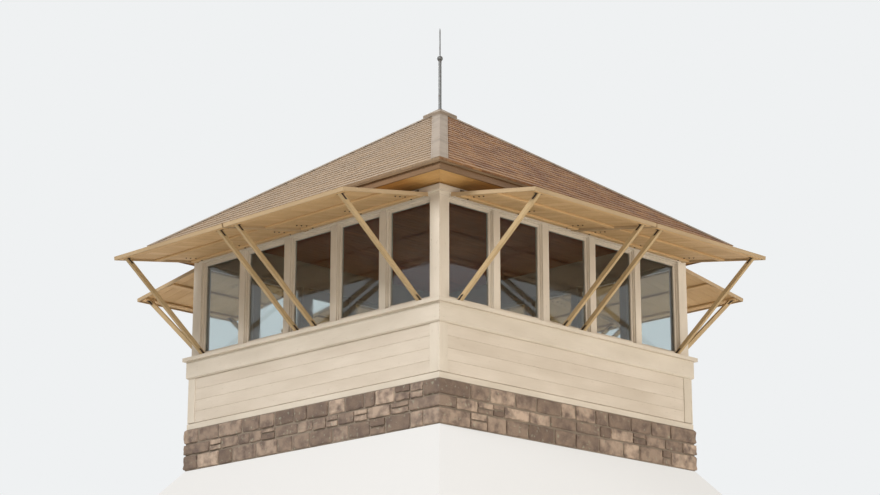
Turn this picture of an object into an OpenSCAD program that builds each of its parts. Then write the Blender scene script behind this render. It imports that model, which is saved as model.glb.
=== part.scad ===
/* [House] */
// Width of the house over its siding, the same both ways
house_w = 4267; // [3600:1:5400]
// Windows in each wall, the door taking the middle bay at the back
bays = 5; // [3:2:7]

/* [Foundation] */
// Height of the masonry above the lowest ground
found_h = 500; // [300:10:1200]
// Thickness of the masonry
found_t = 360; // [300:5:500]
// How far the masonry stands out from the siding
found_out = 25; // [5:1:60]

/* [Floor] */
// Thickness of one floor joist
joist_t = 45; // [35:1:60]
// Depth of one floor joist
joist_h = 184; // [140:1:220]
// Number of floor joists
joist_count = 10; // [7:1:13]
// Thickness of the floor boards
deck_t = 28; // [19:1:40]

/* [Walls] */
// Thickness of the walls
wall_t = 120; // [100:1:150]
// Width of the square corner posts
post_w = 150; // [130:1:190]
// Height of the window sills above the foundation
sill_h = 900; // [700:5:1100]
// Height of the window heads above the foundation
head_h = 2060; // [1900:5:2300]
// Depth of the beams over the windows
plate_h = 345; // [300:1:380]
// Width of the posts between windows
mullion_w = 100; // [70:1:130]
// Setback of the posts between windows from the siding face
mullion_in = 10; // [0:1:25]

/* [Water table] */
// Height of the board round the foot of the walls
table_h = 75; // [50:1:120]
// Thickness of that board
table_t = 22; // [15:1:30]
// Fall of its sloping top
table_fall = 10; // [4:1:20]

/* [Sills] */
// Thickness of the sill board
sill_t = 45; // [35:1:60]
// Fall of the sill from the siding face to its nose
sill_fall = 18; // [8:1:30]
// How far the sill nose stands out from the siding
sill_nose = 78; // [60:1:110]
// Depth of the sill and its apron board together
apron_h = 280; // [180:5:340]
// Thickness of the apron board
apron_t = 42; // [25:1:50]
// Bevel along the lower edge of the apron
apron_bevel = 14; // [4:1:20]

/* [Windows] */
// Width of the sash frames
sash_w = 42; // [30:1:60]
// Thickness of the sashes
sash_t = 38; // [30:1:50]
// Setback of the sashes from the siding face
sash_in = 45; // [30:1:60]
// Clearance at the top and sides of a sash
sash_gap = 2; // [1:0.5:4]
// Thickness of the glass
glass_t = 4; // [3:1:6]
// How far the glass enters the groove of its frame
glass_bite = 8; // [5:1:12]

/* [Door] */
// Thickness of the door leaf
door_t = 44; // [35:1:55]
// Width of the door stiles
stile_w = 95; // [70:1:120]
// Height of the rail at the foot of the door
kick_rail_h = 200; // [120:5:260]
// Height of the rail under the door light
lock_rail_h = 150; // [90:5:200]
// Thickness of the lower door panel
door_panel_t = 18; // [12:1:25]
// Height of the threshold
threshold_h = 45; // [30:1:60]
// Clearance at the top and sides of the door
door_gap = 3; // [2:0.5:5]

/* [Roof] */
// How far the eaves stand out from the siding
eave_out = 420; // [300:5:600]
// Rise of the roof from its eave edge to its peak
roof_rise = 1750; // [1300:10:2200]
// Thickness of the roof boards and shingles together, square to the slope
cover_t = 46; // [35:1:60]
// Thickness of the rafters
rafter_t = 38; // [30:1:50]
// Depth of the rafters, square to the slope
rafter_d = 140; // [110:1:150]
// Height of the notch in the rafters at the outer edge of the wall plates
notch_h = 43; // [20:1:60]
// Height of the rafter ends behind the fascia
tail_h = 40; // [30:1:60]
// Thickness of the hip rafters
hip_t = 45; // [38:1:60]
// Jack rafters on each side of a common rafter
jacks = 3; // [2:1:4]
// How far the shingles stand out from the fascia
drip = 25; // [10:1:40]
// Thickness of the soffit boards
soffit_t = 19; // [12:1:25]
// Thickness of the fascia boards
fascia_t = 22; // [18:1:30]
// Drop of the fascia below the soffit
fascia_drop = 8; // [4:1:20]
// Thickness of the ceiling boards
ceiling_t = 16; // [12:1:25]
// Depth of the ceiling joists
ceiling_joist_h = 120; // [90:1:140]

/* [Hip flashing] */
// Width of the sheet metal over each hip, seen in plan
flash_w = 190; // [120:5:260]
// Thickness of the sheet metal with its fixings
flash_t = 5; // [3:1:8]
// Width of the cap over the peak
cap_w = 300; // [240:5:400]
// Thickness of the cap over the peak, square to the slope
cap_t = 28; // [24:1:40]
// Width of the flat top of the peak cap
cap_top_w = 70; // [60:1:90]

/* [Lightning rod] */
// Diameter of the mast of the lightning rod
mast_d = 38; // [25:1:50]
// Height of the mast above the peak
mast_h = 700; // [400:10:1000]
// Diameter of the ball on the mast
ball_d = 72; // [50:1:90]
// Length of the thin rod above the mast
tip_h = 380; // [200:10:600]
// Diameter of the thin rod
tip_d = 16; // [10:1:20]
// Thickness of the foot flange of the mast
flange_t = 10; // [6:1:14]

/* [Shutters] */
// Gap between the soffit and the rail that carries the shutter hinges
rail_gap = 15; // [0:1:25]
// Height of that rail
rail_h = 70; // [62:1:80]
// Fall of the sloping top of the rail
rail_fall = 10; // [4:1:20]
// Width of a shutter, from its hinges to its free edge
shutter_w = 1275; // [1100:5:1400]
// Drop of the free edge of an open shutter below its hinges
shutter_drop = 205; // [60:5:400]
// Distance from a house corner to the end of a shutter
shutter_end = 130; // [60:5:200]
// Gap between the two shutters of a wall
shutter_gap = 30; // [10:1:60]
// Thickness of the shutter boards
shutter_board_t = 20; // [15:1:25]
// Thickness of the ledges under the shutter boards
ledge_t = 24; // [18:1:30]
// Width of the ledges
ledge_w = 95; // [70:1:120]
// Ledges along each shutter
ledge_count = 3; // [2:1:4]
// Distance from the end of a shutter to the end of its ledges
ledge_end = 30; // [10:1:60]
// Bevel along the lower edges of the ledges
ledge_bevel = 8; // [3:1:12]

/* [Shutter hinges] */
// Hinges on each shutter
hinge_count = 3; // [2:1:4]
// Distance from the end of a shutter to the middle of its last hinge
hinge_in = 180; // [100:5:300]
// Radius of the hinge knuckles
knuckle_r = 8; // [6:0.5:10]
// Length of the three knuckles of a hinge together
knuckle_l = 64; // [48:1:80]
// Width of the hinge straps at the knuckle
strap_w = 44; // [30:1:60]
// Width of the hinge straps at their tip
strap_tip_w = 24; // [16:1:30]
// Length of the hinge straps
strap_l = 380; // [250:5:500]
// Thickness of the hinge straps and plates
strap_t = 4; // [3:0.5:6]
// Height of the hinge plates on the rail
plate_up = 52; // [40:1:60]

/* [Struts] */
// Thickness of a strut along the wall
strut_t = 38; // [30:1:50]
// Depth of a strut across the wall
strut_d = 50; // [38:1:55]
// Place of a strut's head, as a share of the shutter's width
strut_head_share = 0.93; // [0.8:0.01:0.95]
// Distance from the end of a shutter to the middle of its strut
strut_in = 140; // [100:5:300]

/* [Hidden] */
$fn = 48;

// Overrun of every cutting shape
over = 5;
// Heights above the origin
base_z = found_h;
sill_z = base_z + sill_h;
head_z = base_z + head_h;
plate_z = head_z + plate_h;
// Half widths measured from the middle of the house
half_w = house_w / 2;
room_half = half_w - wall_t;
eave_half = half_w + eave_out;
// Clear width of one window bay and the pitch from bay to bay
bay_w = (house_w - 2 * post_w - (bays - 1) * mullion_w) / bays;
bay_pitch = bay_w + mullion_w;
post_last = bays - 2;
door_bay = (bays - 1) / 2;
// Height of the seat of the sill on the lower walls
sill_seat_z = sill_z - sill_t;
// Roof slope and the upright thicknesses that follow from it
slope = atan(roof_rise / eave_half);
cover_v = cover_t / cos(slope);
rafter_v = rafter_d / cos(slope);
flash_v = flash_t / cos(slope);
cap_v = cap_t / cos(slope);
// Rafters notched over the plates set the eave edge, and their ends set the soffit
eave_z = plate_z - notch_h + rafter_v + cover_v - tan(slope) * eave_out;
peak_z = eave_z + roof_rise;
soffit_z = eave_z - cover_v - tail_h - soffit_t;
fascia_half = eave_half - drip;
rafter_pitch = eave_half / (jacks + 1);
// Height of the flat top of the peak cap
cap_top_z = peak_z + flash_v + cap_v - tan(slope) * cap_top_w / 2;
// Door sizes: its light starts at the height of the window sashes
door_in = sash_in;
door_w = bay_w - 2 * door_gap;
door_foot_z = base_z + threshold_h;
door_top_z = head_z - door_gap;
door_side = bay_w / 2 + mullion_w;
light_z = sill_z + sash_w;
// Open angle of the shutters, and the pins of their hinges on a rail as thick as a shutter
open_a = asin(shutter_drop / shutter_w);
leaf_t = shutter_board_t + ledge_t;
rail_out = half_w + leaf_t;
pin_out = rail_out + knuckle_r;
hinge_z = soffit_z - rail_gap - rail_h;
// Reach of cutting shapes past the whole house
reach = house_w + eave_out + shutter_w;

function bay_x(i) = (i - (bays - 1) / 2) * bay_pitch;
function post_x(i) = bay_x(i) + bay_pitch / 2;

// Place of a piece of the front wall turned to another wall
module wall_side(turns) {
    rotate([0, 0, 90 * turns]) children();
}

// Upright outline extruded along the front wall, with y across the wall
module along_wall(length) {
    rotate([90, 0, 90])
        translate([0, 0, -length / 2])
            linear_extrude(height = length)
                children();
}

// Upright wedge over the quarter of the plan that the front wall takes
module mitre_wedge(height) {
    linear_extrude(height = height)
        polygon([[0, 0], [-reach, -reach], [reach, -reach]]);
}

// Square ring of the given half widths, standing on z = 0
module square_ring(outer_half, inner_half, height) {
    difference() {
        translate([-outer_half, -outer_half, 0])
            cube([2 * outer_half, 2 * outer_half, height]);
        translate([-inner_half, -inner_half, -over])
            cube([2 * inner_half, 2 * inner_half, height + 2 * over]);
    }
}

// Room for the door and its posts, as far out from the siding as what it cuts
module doorway(out) {
    translate([-door_side, -half_w - out - over, base_z])
        cube([2 * door_side, wall_t + out + 2 * over, head_h]);
}

// Masonry ring with an inner ledge that carries the floor joists
module stone_foundation() {
    outer_half = half_w + found_out;
    color("dimgray")
        difference() {
            square_ring(outer_half, outer_half - found_t, found_h);
            translate([-room_half, -room_half, found_h - joist_h])
                cube([2 * room_half, 2 * room_half, joist_h + over]);
        }
}

module floor_joists() {
    pitch = (2 * room_half - joist_t) / (joist_count - 1);
    color("peru")
        for (i = [0 : joist_count - 1])
            translate([i * pitch - room_half, -room_half, base_z - joist_h])
                cube([joist_t, 2 * room_half, joist_h]);
}

// Floor boards notched round the corner posts
module floor_deck() {
    color("burlywood")
        difference() {
            translate([-room_half, -room_half, base_z])
                cube([2 * room_half, 2 * room_half, deck_t]);
            corner_posts();
        }
}

// Square ring standing on foot_z, its top falling outwards and mitred at the corners
module weathered_ring(outer_half, inner_half, foot_z, height, fall) {
    top_z = foot_z + height;
    out = outer_half - inner_half + over;
    difference() {
        translate([0, 0, foot_z])
            square_ring(outer_half, inner_half, height);
        for (turns = [0 : 3])
            wall_side(turns)
                along_wall(2 * reach)
                    polygon([[-inner_half, top_z],
                        [-inner_half - out, top_z - out * fall / (outer_half - inner_half)],
                        [-inner_half - out, top_z + over], [-inner_half, top_z + over]]);
    }
}

// Board round the foot of the walls, open at the door
module water_table() {
    color("wheat")
        difference() {
            weathered_ring(half_w + table_t, half_w, base_z, table_h, table_fall);
            wall_side(2) doorway(table_t);
        }
}

module corner_posts() {
    color("wheat")
        for (turns = [0 : 3])
            wall_side(turns)
                translate([-half_w, -half_w, base_z])
                    cube([post_w, post_w, head_h]);
}

// Lower wall of the front between two places along it
module lower_wall(from_x, to_x) {
    color("wheat")
        translate([from_x, -half_w, base_z])
            cube([to_x - from_x, wall_t, sill_seat_z - base_z]);
}

// Sill and apron outline: y runs out from the siding face, z up from the sill
module sill_outline() {
    polygon([[-room_half, sill_z], [-half_w, sill_z],
        [-half_w - sill_nose, sill_z - sill_fall],
        [-half_w - sill_nose, sill_z - sill_fall - sill_t],
        [-half_w - apron_t, sill_z - sill_fall - sill_t],
        [-half_w - apron_t, sill_z - apron_h + apron_bevel],
        [-half_w - apron_t + apron_bevel, sill_z - apron_h],
        [-half_w, sill_z - apron_h], [-half_w, sill_seat_z], [-room_half, sill_seat_z]]);
}

// Mitred sill and apron of the front, notched round the corner posts
module wall_sill(has_door) {
    color("antiquewhite")
        difference() {
            intersection() {
                mitre_wedge(peak_z);
                along_wall(2 * reach) sill_outline();
            }
            corner_posts();
            if (has_door)
                doorway(sill_nose);
        }
}

module window_posts(has_door) {
    color("antiquewhite")
        for (i = [0 : post_last]) {
            foot_z = has_door && (i == door_bay || i == door_bay - 1) ? base_z : sill_z;
            translate([post_x(i) - mullion_w / 2, mullion_in - half_w, foot_z])
                cube([mullion_w, wall_t - mullion_in, head_z - foot_z]);
        }
}

// Frame of the given size in the wall plane, standing on z = 0, with a groove for its pane
module grooved_frame(width, height, thick, side_w, foot_w, head_w) {
    difference() {
        translate([-width / 2, 0, 0])
            cube([width, thick, height]);
        translate([side_w - width / 2, -over, foot_w])
            cube([width - 2 * side_w, thick + 2 * over, height - foot_w - head_w]);
        translate([side_w - glass_bite - width / 2, (thick - glass_t) / 2, foot_w - glass_bite])
            cube([width - 2 * side_w + 2 * glass_bite, glass_t,
                height - foot_w - head_w + 2 * glass_bite]);
    }
}

module sashes(has_door) {
    color("antiquewhite")
        for (i = [0 : bays - 1])
            if (!has_door || i != door_bay)
                translate([bay_x(i), sash_in - half_w, sill_z])
                    grooved_frame(bay_w - 2 * sash_gap, head_h - sill_h - sash_gap,
                        sash_t, sash_w, sash_w, sash_w);
}

// Pane that fills the groove of a frame of the given opening
module pane(width, height) {
    translate([-width / 2 - glass_bite, -glass_t / 2, -glass_bite])
        cube([width + 2 * glass_bite, glass_t, height + 2 * glass_bite]);
}

module window_glass(has_door) {
    sash_y = sash_in + sash_t / 2 - half_w;
    color("lightsteelblue")
        for (i = [0 : bays - 1])
            if (has_door && i == door_bay)
                translate([0, door_in + door_t / 2 - half_w, light_z])
                    pane(door_w - 2 * stile_w, door_top_z - stile_w - light_z);
            else
                translate([bay_x(i), sash_y, sill_z + sash_w])
                    pane(bay_w - 2 * sash_gap - 2 * sash_w,
                        head_h - sill_h - sash_gap - 2 * sash_w);
}

// Half glazed leaf with a thinner panel below the lock rail
module door_leaf() {
    panel_foot = kick_rail_h;
    panel_top = light_z - lock_rail_h - door_foot_z;
    color("tan")
        wall_side(2)
            translate([0, door_in - half_w, door_foot_z]) {
                difference() {
                    grooved_frame(door_w, door_top_z - door_foot_z, door_t,
                        stile_w, light_z - door_foot_z, stile_w);
                    for (face_y = [-over, (door_t + door_panel_t) / 2])
                        translate([stile_w - door_w / 2, face_y, panel_foot])
                            cube([door_w - 2 * stile_w, (door_t - door_panel_t) / 2 + over,
                                panel_top - panel_foot]);
                }
            }
}

// Threshold with a weathered front edge between the two door posts
module door_threshold() {
    color("gray")
        wall_side(2)
            along_wall(bay_w)
                polygon([[-room_half, base_z], [-room_half, door_foot_z],
                    [door_in - half_w, door_foot_z],
                    [-half_w - table_t, door_foot_z - threshold_h / 2], [-half_w - table_t, base_z]]);
}

module wall_plates() {
    color("antiquewhite")
        translate([0, 0, head_z])
            square_ring(half_w, room_half, plate_h);
}

module ceiling() {
    color("burlywood")
        translate([-room_half, -room_half, plate_z - ceiling_t])
            cube([2 * room_half, 2 * room_half, ceiling_t]);
}

// Ceiling joists lie on the side plates, midway between the rafters
module ceiling_joists() {
    bearing = wall_t / 2;
    color("peru")
        for (i = [-jacks : jacks - 1])
            translate([-room_half - bearing, (i + 0.5) * rafter_pitch - joist_t / 2, plate_z])
                cube([2 * (room_half + bearing), joist_t, ceiling_joist_h]);
}

// Height of the plane of a slope, sunk by drop, at the distance away from the peak
function roof_at(away, drop) = peak_z - drop - tan(slope) * away;

// Everything below the four slopes, sunk by drop
module under_roof(drop) {
    intersection() {
        roof_prism(drop);
        wall_side(1) roof_prism(drop);
    }
}

module roof_prism(drop) {
    along_wall(2 * reach)
        polygon([[-reach, roof_at(reach, drop)], [0, roof_at(0, drop)],
            [reach, roof_at(reach, drop)]]);
}

// Upright slabs of the given thickness along both diagonals of the plan
module diagonals(thick, height) {
    for (turn = [45, 135])
        rotate([0, 0, turn])
            translate([-reach, -thick / 2, 0])
                cube([2 * reach, thick, height]);
}

// Room inside the fascia and above the soffit that the rafters take, less the wall plates
module rafter_room() {
    half = fascia_half - fascia_t;
    difference() {
        translate([-half, -half, soffit_z + soffit_t])
            cube([2 * half, 2 * half, peak_z]);
        wall_plates();
    }
}

// Four hip rafters, backed to both slopes and seated on the corners of the plates
module hip_rafters() {
    color("peru")
        intersection() {
            difference() {
                under_roof(cover_v);
                under_roof(cover_v + rafter_v);
            }
            diagonals(hip_t, peak_z);
            rafter_room();
        }
}

// Rafters of the front slope, ending at the hip rafters
module rafter_side() {
    intersection() {
        mitre_wedge(peak_z);
        for (i = [-jacks : jacks])
            translate([i * rafter_pitch, 0, 0])
                along_wall(rafter_t)
                    polygon([[-eave_half, roof_at(eave_half, cover_v)],
                        [0, roof_at(0, cover_v)], [0, roof_at(0, cover_v + rafter_v)],
                        [-eave_half, roof_at(eave_half, cover_v + rafter_v)]]);
        difference() {
            rafter_room();
            diagonals(hip_t, peak_z);
        }
    }
}

module common_and_jack_rafters() {
    color("peru")
        for (turns = [0 : 3])
            wall_side(turns) rafter_side();
}

module soffit() {
    color("darkgoldenrod")
        translate([0, 0, soffit_z])
            square_ring(fascia_half - fascia_t, half_w, soffit_t);
}

// Fascia with its top bevelled to the slopes
module fascia() {
    fascia_foot = soffit_z - fascia_drop;
    color("saddlebrown")
        intersection() {
            translate([0, 0, fascia_foot])
                square_ring(fascia_half, fascia_half - fascia_t, peak_z - fascia_foot);
            under_roof(cover_v);
        }
}

// Boards and shingles of the front slope, mitred along both hips
module roof_slope() {
    color("sienna")
        intersection() {
            mitre_wedge(peak_z);
            along_wall(2 * reach)
                polygon([[-eave_half, eave_z], [0, peak_z],
                    [0, roof_at(0, cover_v)], [-eave_half, roof_at(eave_half, cover_v)]]);
        }
}

// Sheet metal folded over the four hips
module hip_flashing() {
    color("silver")
        intersection() {
            difference() {
                under_roof(-flash_v);
                under_roof(0);
            }
            diagonals(flash_w, 2 * peak_z);
            translate([-eave_half, -eave_half, 0])
                cube([2 * eave_half, 2 * eave_half, 2 * peak_z]);
        }
}

// Block over the peak with a flat top for the mast
module peak_cap() {
    color("silver")
        difference() {
            intersection() {
                under_roof(-flash_v - cap_v);
                translate([-cap_w / 2, -cap_w / 2, 0])
                    cube([cap_w, cap_w, cap_top_z]);
            }
            under_roof(0);
            hip_flashing();
        }
}

// Mast on a flange, with a ball and a thin rod above it
module lightning_rod() {
    flange_d = cap_top_w - flange_t;
    mast_top = peak_z + mast_h;
    color("slategray") {
        translate([0, 0, cap_top_z])
            cylinder(d = flange_d, h = flange_t);
        translate([0, 0, cap_top_z])
            cylinder(d = mast_d, h = mast_top - cap_top_z);
        translate([0, 0, mast_top])
            sphere(d = ball_d);
        translate([0, 0, mast_top])
            cylinder(d = tip_d, h = tip_h);
        translate([0, 0, mast_top + tip_h])
            cylinder(d1 = tip_d, d2 = 0, h = 2 * tip_d);
    }
}

// Rail round the house above the shutters
module shutter_rail() {
    color("antiquewhite")
        weathered_ring(rail_out, half_w, hinge_z, rail_h, rail_fall);
}

// Inner end of the shutters, clear of the door on its wall
function shutter_inner(has_door) = has_door ? (bay_w + mullion_w) / 2 : shutter_gap / 2;

// Place of a shutter's middle, and its length along the wall
function shutter_mid(has_door) = (half_w - shutter_end + shutter_inner(has_door)) / 2;
function shutter_l(has_door) = half_w - shutter_end - shutter_inner(has_door);

// Turns what is drawn in a shutter's own plane, with its hinge pin at the origin, to its open place
module open_shutters(has_door) {
    for (side = [-1, 1])
        translate([side * shutter_mid(has_door), -pin_out, hinge_z])
            rotate([open_a, 0, 0])
                children();
}

// Places of the hinges along a shutter
module each_hinge(has_door) {
    spread = shutter_l(has_door) - 2 * hinge_in;
    for (i = [0 : hinge_count - 1])
        translate([i * spread / (hinge_count - 1) - spread / 2, 0, 0])
            children();
}

// Stretch of hinge knuckle between two places along the pin
module knuckle(from_x, to_x) {
    translate([from_x, 0, 0])
        rotate([0, 90, 0])
            cylinder(r = knuckle_r, h = to_x - from_x);
}

// Tapered straps on the boards, each with the middle knuckle of its hinge
module wall_hinge_straps(has_door) {
    open_shutters(has_door)
        each_hinge(has_door) {
            knuckle(-knuckle_l / 6, knuckle_l / 6);
            translate([0, 0, -knuckle_r])
                linear_extrude(height = strap_t)
                    polygon([[-knuckle_l / 6, 0], [-strap_w / 2, -strap_w / 2],
                        [-strap_tip_w / 2, -strap_l + strap_tip_w / 2], [0, -strap_l],
                        [strap_tip_w / 2, -strap_l + strap_tip_w / 2],
                        [strap_w / 2, -strap_w / 2], [knuckle_l / 6, 0]]);
        }
}

module hinge_straps() {
    color("dimgray")
        for (turns = [0 : 3])
            wall_side(turns) wall_hinge_straps(turns == 2);
}

// Plates on the rail, each with the two outer knuckles of its hinge
module wall_hinge_plates(has_door) {
    for (side = [-1, 1])
        translate([side * shutter_mid(has_door), -pin_out, hinge_z])
            each_hinge(has_door) {
                for (end = [-1, 1])
                    knuckle(end * knuckle_l / 3 - knuckle_l / 6, end * knuckle_l / 3 + knuckle_l / 6);
                translate([-knuckle_l / 2, knuckle_r - strap_t, knuckle_r])
                    cube([knuckle_l, strap_t, plate_up - knuckle_r]);
                for (end = [-1, 1])
                    translate([end * knuckle_l / 3 - knuckle_l / 6, knuckle_r - strap_t, 0])
                        cube([knuckle_l / 3, strap_t, knuckle_r]);
            }
}

module hinge_plates() {
    color("dimgray")
        for (turns = [0 : 3])
            wall_side(turns) wall_hinge_plates(turns == 2);
}

// Bevelled ledge along x under the boards, its middle at y = 0
module ledge(length) {
    top = -knuckle_r - shutter_board_t;
    foot = top - ledge_t;
    along_wall(length)
        polygon([[-ledge_w / 2, top], [-ledge_w / 2, foot + ledge_bevel],
            [ledge_bevel - ledge_w / 2, foot], [ledge_w / 2 - ledge_bevel, foot],
            [ledge_w / 2, foot + ledge_bevel], [ledge_w / 2, top]]);
}

// Two open shutters of the front, boards on ledges; the last ledge takes the struts
module shutters(has_door) {
    first_ledge = (1 - strut_head_share) * shutter_w;
    ledge_pitch = (shutter_w - 2 * first_ledge) / (ledge_count - 1);
    length = shutter_l(has_door);
    color("tan")
        open_shutters(has_door) {
            translate([-length / 2, -shutter_w, -knuckle_r - shutter_board_t])
                cube([length, shutter_w, shutter_board_t]);
            for (i = [0 : ledge_count - 1])
                translate([0, -first_ledge - i * ledge_pitch, 0])
                    ledge(length - 2 * ledge_end);
        }
}

// Outline of a strut from the sill to the underside of an open shutter's last ledge
module strut_outline() {
    under = knuckle_r + leaf_t;
    corner = [under * sin(open_a) - pin_out, hinge_z - under * cos(open_a)];
    along = [-cos(open_a), -sin(open_a)];
    foot = [-half_w - sill_nose / 2, sill_z - sill_fall / 2];
    head = corner + strut_head_share * shutter_w * along;
    run = head - foot;
    edge = corner + shutter_w * along;
    intersection() {
        translate(foot)
            rotate(atan2(run[1], run[0]))
                translate([-strut_d, -strut_d / 2])
                    square([norm(run) + 2 * strut_d, strut_d]);
        polygon([[-half_w, sill_z], [-half_w, corner[1] + tan(open_a) * (half_w + corner[0])],
            corner, edge, [edge[0], sill_z + (edge[0] + half_w) * sill_fall / sill_nose]]);
    }
}

module struts(has_door) {
    color("tan")
        for (side = [-1, 1], place = [shutter_inner(has_door) + strut_in,
                half_w - shutter_end - strut_in])
            translate([side * place, 0, 0])
                along_wall(strut_t) strut_outline();
}

stone_foundation();
floor_joists();
floor_deck();
water_table();
corner_posts();
lower_wall(post_w - half_w, half_w - post_w);  // front_lower_wall
wall_side(1) lower_wall(post_w - half_w, half_w - post_w);  // right_lower_wall
wall_side(3) lower_wall(post_w - half_w, half_w - post_w);  // left_lower_wall
wall_side(2) lower_wall(post_w - half_w, -door_side);  // back_lower_wall_beside_hinges
wall_side(2) lower_wall(door_side, half_w - post_w);  // back_lower_wall_beside_latch
wall_side(0) wall_sill(false);  // front_sill
wall_side(1) wall_sill(false);  // right_sill
wall_side(2) wall_sill(true);  // back_sill
wall_side(3) wall_sill(false);  // left_sill
wall_side(0) window_posts(false);  // front_window_posts
wall_side(1) window_posts(false);  // right_window_posts
wall_side(2) window_posts(true);  // back_window_posts
wall_side(3) window_posts(false);  // left_window_posts
wall_side(0) sashes(false);  // front_sashes
wall_side(1) sashes(false);  // right_sashes
wall_side(2) sashes(true);  // back_sashes
wall_side(3) sashes(false);  // left_sashes
wall_side(0) window_glass(false);  // front_window_glass
wall_side(1) window_glass(false);  // right_window_glass
wall_side(2) window_glass(true);  // back_window_glass
wall_side(3) window_glass(false);  // left_window_glass
door_leaf();
door_threshold();
wall_plates();
shutter_rail();
ceiling();
ceiling_joists();
hip_rafters();
common_and_jack_rafters();
soffit();
fascia();
wall_side(0) roof_slope();  // front_roof_slope
wall_side(1) roof_slope();  // right_roof_slope
wall_side(2) roof_slope();  // back_roof_slope
wall_side(3) roof_slope();  // left_roof_slope
hip_flashing();
peak_cap();
lightning_rod();
hinge_plates();
hinge_straps();
wall_side(0) shutters(false);  // front_shutters
wall_side(1) shutters(false);  // right_shutters
wall_side(2) shutters(true);  // back_shutters
wall_side(3) shutters(false);  // left_shutters
wall_side(0) struts(false);  // front_struts
wall_side(1) struts(false);  // right_struts
wall_side(2) struts(true);  // back_struts
wall_side(3) struts(false);  // left_struts
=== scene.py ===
import math
import random

import bmesh
import bpy
from mathutils import Matrix, Vector


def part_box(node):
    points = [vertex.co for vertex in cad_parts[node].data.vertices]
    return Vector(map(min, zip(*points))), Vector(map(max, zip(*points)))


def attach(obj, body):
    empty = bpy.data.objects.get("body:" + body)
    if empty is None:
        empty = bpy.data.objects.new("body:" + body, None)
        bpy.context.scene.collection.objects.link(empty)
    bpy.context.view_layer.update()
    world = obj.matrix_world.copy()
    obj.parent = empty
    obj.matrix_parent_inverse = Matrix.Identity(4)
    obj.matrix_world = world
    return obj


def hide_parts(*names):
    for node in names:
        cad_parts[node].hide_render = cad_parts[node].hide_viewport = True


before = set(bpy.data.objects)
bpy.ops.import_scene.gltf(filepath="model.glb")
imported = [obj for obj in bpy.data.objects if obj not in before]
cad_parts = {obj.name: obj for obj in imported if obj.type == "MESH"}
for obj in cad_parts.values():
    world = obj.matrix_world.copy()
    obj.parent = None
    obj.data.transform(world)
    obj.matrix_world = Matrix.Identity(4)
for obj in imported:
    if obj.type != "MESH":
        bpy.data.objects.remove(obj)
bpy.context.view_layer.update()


# Camera
# It stands below the house, where the photograph was taken from, about 26 m off the near corner.
# It is turned to the middle of the house, with a lens long enough to fill the frame with it.
eye = Vector((-18.42, -18.49, -4.43))
aim_at = Vector((0.0, 0.0, 2.78))
camera_data = bpy.data.cameras.new("camera")
camera_data.lens = 90.0
camera_data.clip_end = 400.0
camera = bpy.data.objects.new("camera", camera_data)
camera.location = eye
camera.rotation_euler = (aim_at - eye).to_track_quat("-Z", "Y").to_euler()
bpy.context.scene.collection.objects.link(camera)
bpy.context.scene.camera = camera
bpy.context.scene.view_settings.view_transform = "Standard"


# Studio
# A pale mound stands in for the rock, its top as wide as the foundation, on a pale floor below
# the camera. Six large soft lamps, nearly white, light every side, and eaves also from below.
def srgb(hex_code):
    """Linear colour of six sRGB hex digits."""
    parts = [int(hex_code[i:i + 2], 16) / 255 for i in (0, 2, 4)]
    return [c / 12.92 if c <= 0.04045 else ((c + 0.055) / 1.055) ** 2.4 for c in parts] + [1.0]


def add(tree, kind, links=None, **settings):
    """A node with its settings; links gives each input a value or the socket that feeds it."""
    node = tree.nodes.new(kind)
    for name, value in settings.items():
        setattr(node, name, value)
    for place, value in (links or {}).items():
        if isinstance(value, bpy.types.NodeSocket):
            tree.links.new(value, node.inputs[place])
        else:
            node.inputs[place].default_value = value
    return node


def new_material(name):
    """A named material with its node tree and its main shader."""
    material = bpy.data.materials.new(name)
    material.use_nodes = True
    return material, material.node_tree, material.node_tree.nodes["Principled BSDF"]


def new_piece(name, mesh_in_progress, material):
    """The finished mesh as an object at the origin."""
    mesh = bpy.data.meshes.new(name)
    mesh_in_progress.to_mesh(mesh)
    mesh_in_progress.free()
    mesh.materials.append(material)
    piece = bpy.data.objects.new(name, mesh)
    bpy.context.scene.collection.objects.link(piece)
    return piece


def in_view(tree):
    """1 for rays of the camera, also by way of glass or a gloss, and 0 for rays that give light."""
    rays = add(tree, "ShaderNodeLightPath")
    by_gloss = add(tree, "ShaderNodeMath", {0: rays.outputs["Is Camera Ray"],
                                            1: rays.outputs["Is Glossy Ray"]}, operation="MAXIMUM")
    return add(tree, "ShaderNodeMath", {0: by_gloss.outputs[0],
                                        1: rays.outputs["Is Transmission Ray"]},
               operation="MAXIMUM").outputs[0]


foundation_low, foundation_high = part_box("stone_foundation")
floor_below_eye, studio_reach = 0.5, 150.0
floor_z = eye.z - floor_below_eye
mound_slope, mound_gap = 1.25, 0.002
mound_reach = foundation_high.x - floor_z / mound_slope
glow_strength = 0.58
# Matt studio paint: pale, and evened out for the camera by a plain glow over a darker coat.
backdrop, tree, shader = new_material("matt_studio_paint")
paint = add(tree, "ShaderNodeMix", {0: in_view(tree), 6: srgb("e4e1db"), 7: srgb("8c8a87")},
            data_type="RGBA")
glow = add(tree, "ShaderNodeMath", {0: in_view(tree), 1: glow_strength}, operation="MULTIPLY")
tree.links.new(paint.outputs[2], shader.inputs["Base Color"])
tree.links.new(glow.outputs[0], shader.inputs["Emission Strength"])
shader.inputs["Emission Color"].default_value = srgb("f6f5f2")
shader.inputs["Roughness"].default_value = 0.9
mound_mesh = bmesh.new()
bmesh.ops.create_cone(mound_mesh, cap_ends=True, segments=4, radius1=mound_reach * math.sqrt(2),
                      radius2=foundation_high.x * math.sqrt(2), depth=-floor_z,
                      matrix=Matrix.Translation((0, 0, floor_z / 2 - mound_gap))
                      @ Matrix.Rotation(math.radians(45), 4, "Z"))
mound = new_piece("studio_mound", mound_mesh, backdrop)
ground_mesh = bmesh.new()
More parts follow.
